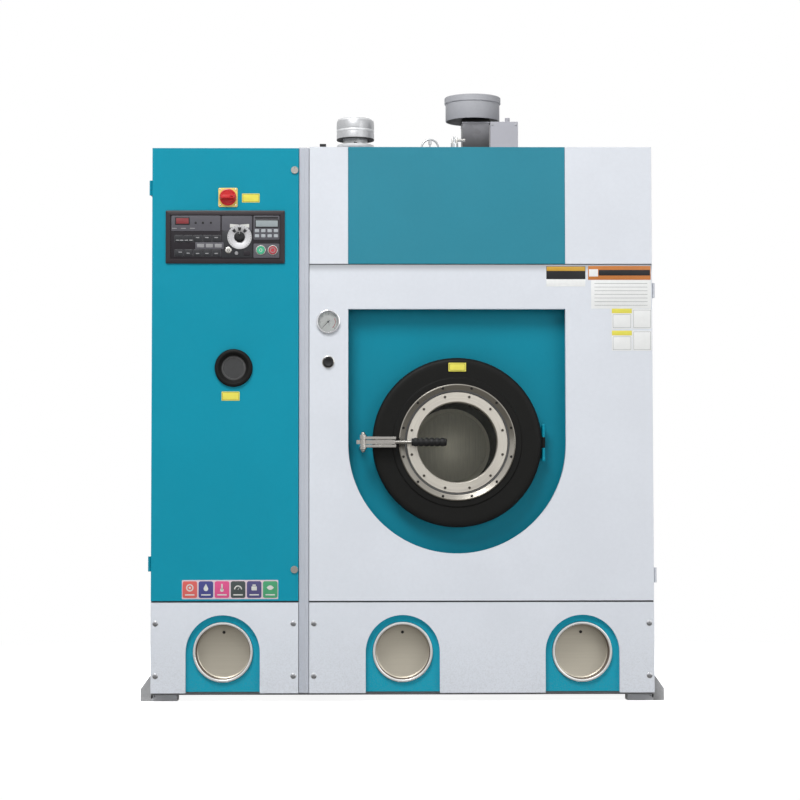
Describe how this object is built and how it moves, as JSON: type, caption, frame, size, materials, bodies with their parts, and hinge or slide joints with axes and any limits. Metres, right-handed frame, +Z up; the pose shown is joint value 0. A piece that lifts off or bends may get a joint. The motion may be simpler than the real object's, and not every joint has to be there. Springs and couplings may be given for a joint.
{
  "type": "dry cleaning machine",
  "caption": "Floor-standing closed dry cleaning machine with a round glazed loading door, side control door, tank hatches and roof exhaust.",
  "frame": {"origin": "on the floor, at the middle of the four anchor holes in the feet", "axes": "+Z up, front with the loading door towards -Y, +X to the right seen from the front"},
  "size_m": [1.574, 1.134, 1.87],
  "materials": {
    "steel_dark": "satin paint",
    "foot_grey": "satin paint",
    "frame_grey": "satin paint",
    "panel_white": "powder coat",
    "post_grey": "powder coat",
    "header_teal": "powder coat",
    "panel_teal": "powder coat",
    "screw_steel": "polished",
    "stainless": "brushed",
    "tank_steel": "mill finish",
    "tub_steel": "mill finish",
    "cast_grey": "painted casting",
    "bearing_steel": "ground",
    "motor_blue": "satin paint",
    "belt_rubber": "matt",
    "pump_blue": "satin paint",
    "duct_zinc": "galvanised",
    "compressor_black": "satin paint",
    "plate_grey": "satin paint",
    "zinc_grey": "galvanised",
    "duct_dark": "satin paint",
    "box_grey": "satin paint",
    "cowl_steel": "satin",
    "drum_steel": "brushed",
    "port_black": "satin",
    "console_dark": "fine grain",
    "switch_red": "gloss",
    "knob_black": "satin",
    "button_green": "gloss",
    "button_red": "gloss",
    "gauge_steel": "polished",
    "button_black": "gloss",
    "cover_black": "satin paint",
    "door_steel": "brushed",
    "clamp_steel": "brushed",
    "door_glass": "clear",
    "seal_rubber": "matt",
    "bolt_dark": "worn",
    "handle_chrome": "polished",
    "grip_black": "ribbed"
  },
  "bodies": {
    "cabinet": {"base_frame": "steel_dark", "anchor_feet": "foot_grey", "cabinet_frame": "frame_grey", "side_panels": "panel_white", "rear_panel": "panel_white", "roof_panel": "panel_white", "centre_post": "post_grey", "header_panel": "panel_white", "header_insert": "header_teal", "lower_panels": "panel_white", "arch_plates": "panel_teal", "panel_screws": "screw_steel", "recess_panel": "panel_teal", "tank_hatches": "stainless", "solvent_tanks": "tank_steel", "outer_tub": "tub_steel", "bearing_housing": "cast_grey", "drum_bearings": "bearing_steel", "drive_motor": "motor_blue", "drive_belt": "belt_rubber", "pump_set": "pump_blue", "solvent_filter": "stainless", "still_vessel": "stainless", "air_duct": "duct_zinc", "refrigeration_set": "compressor_black", "control_backplate": "plate_grey", "exhaust_drum": "zinc_grey", "exhaust_duct": "duct_dark", "junction_box": "box_grey", "intake_cowl": "cowl_steel", "roof_fittings": "screw_steel", "door_fittings": "screw_steel"},
    "drum": {"drum_cage": "drum_steel", "drum_shaft": "bearing_steel", "drum_pulley": "cast_grey"},
    "motor_shaft": {"motor_pulley": "cast_grey"},
    "fan": {"fan_impeller": "duct_zinc"},
    "control_door": {"control_door": "panel_teal", "door_port": "port_black", "control_console": "console_dark"},
    "main_switch": {"switch_knob": "switch_red"},
    "program_selector": {"program_knob": "knob_black"},
    "start_button": {"start_button": "button_green"},
    "stop_button": {"stop_button": "button_red"},
    "upper_lock": {"upper_lock": "screw_steel"},
    "lower_lock": {"lower_lock": "screw_steel"},
    "service_panel": {"service_panel": "panel_white", "gauge_case": "gauge_steel", "release_bezel": "knob_black"},
    "gauge_needle": {"gauge_needle": "knob_black"},
    "release_button": {"release_button": "button_black"},
    "loading_door": {"door_cover_ring": "cover_black", "door_outer_ring": "door_steel", "door_clamp_ring": "clamp_steel", "door_glass": "door_glass", "door_gasket": "seal_rubber", "door_bolts": "bolt_dark", "handle_bracket": "handle_chrome"},
    "door_handle": {"handle_lever": "handle_chrome", "handle_grip": "grip_black"}
  },
  "joints": [
    {"name": "drum_spin", "type": "hinge", "parent": "cabinet", "child": "drum", "pos_m": [0.164, 0, 0.775], "axis": [0, 1, 0], "continuous": true},
    {"name": "motor_spin", "type": "hinge", "parent": "cabinet", "child": "motor_shaft", "pos_m": [0.48, 0.3, 0.48], "axis": [0, 1, 0], "continuous": true},
    {"name": "fan_spin", "type": "hinge", "parent": "cabinet", "child": "fan", "pos_m": [0.56, 0, 1.33], "axis": [0, 1, 0], "continuous": true},
    {"name": "control_door_hinge", "type": "hinge", "parent": "cabinet", "child": "control_door", "pos_m": [-0.758, -0.513, 0.9], "axis": [0, 0, -1], "range_deg": [0, 110]},
    {"name": "main_switch_turn", "type": "hinge", "parent": "control_door", "child": "main_switch", "pos_m": [-0.525, -0.525, 1.514], "axis": [0, 1, 0], "range_deg": [0, 90]},
    {"name": "program_selector_turn", "type": "hinge", "parent": "control_door", "child": "program_selector", "pos_m": [-0.49, -0.525, 1.394], "axis": [0, 1, 0], "range_deg": [-150, 150]},
    {"name": "start_button_push", "type": "slide", "parent": "control_door", "child": "start_button", "axis": [0, 1, 0], "range_m": [0, 0.003], "stiffness_N_per_m": 400},
    {"name": "stop_button_push", "type": "slide", "parent": "control_door", "child": "stop_button", "axis": [0, 1, 0], "range_m": [0, 0.003], "stiffness_N_per_m": 400},
    {"name": "upper_lock_turn", "type": "hinge", "parent": "control_door", "child": "upper_lock", "pos_m": [-0.32425, -0.525, 1.597], "axis": [0, 1, 0], "range_deg": [0, 90]},
    {"name": "lower_lock_turn", "type": "hinge", "parent": "control_door", "child": "lower_lock", "pos_m": [-0.32425, -0.525, 0.395], "axis": [0, 1, 0], "range_deg": [0, 90]},
    {"name": "service_panel_hinge", "type": "hinge", "parent": "cabinet", "child": "service_panel", "pos_m": [0.758, -0.513, 0.8], "axis": [0, 0, 1], "range_deg": [0, 110]},
    {"name": "gauge_needle_turn", "type": "hinge", "parent": "service_panel", "child": "gauge_needle", "pos_m": [-0.223, -0.525, 1.138], "axis": [0, 1, 0], "range_deg": [0, 270]},
    {"name": "release_button_push", "type": "slide", "parent": "service_panel", "child": "release_button", "axis": [0, 1, 0], "range_m": [0, 0.004], "stiffness_N_per_m": 400},
    {"name": "loading_door_hinge", "type": "hinge", "parent": "cabinet", "child": "loading_door", "pos_m": [0.425, -0.505, 0.775], "axis": [0, 0, 1], "range_deg": [0, 100]},
    {"name": "door_handle_turn", "type": "hinge", "parent": "loading_door", "child": "door_handle", "pos_m": [-0.118, -0.561, 0.775], "axis": [0, 0, -1], "range_deg": [0, 60]}
  ],
  "couplings": [
    {"joint": "motor_spin", "follows": "drum_spin", "ratio": 4.75}
  ]
}
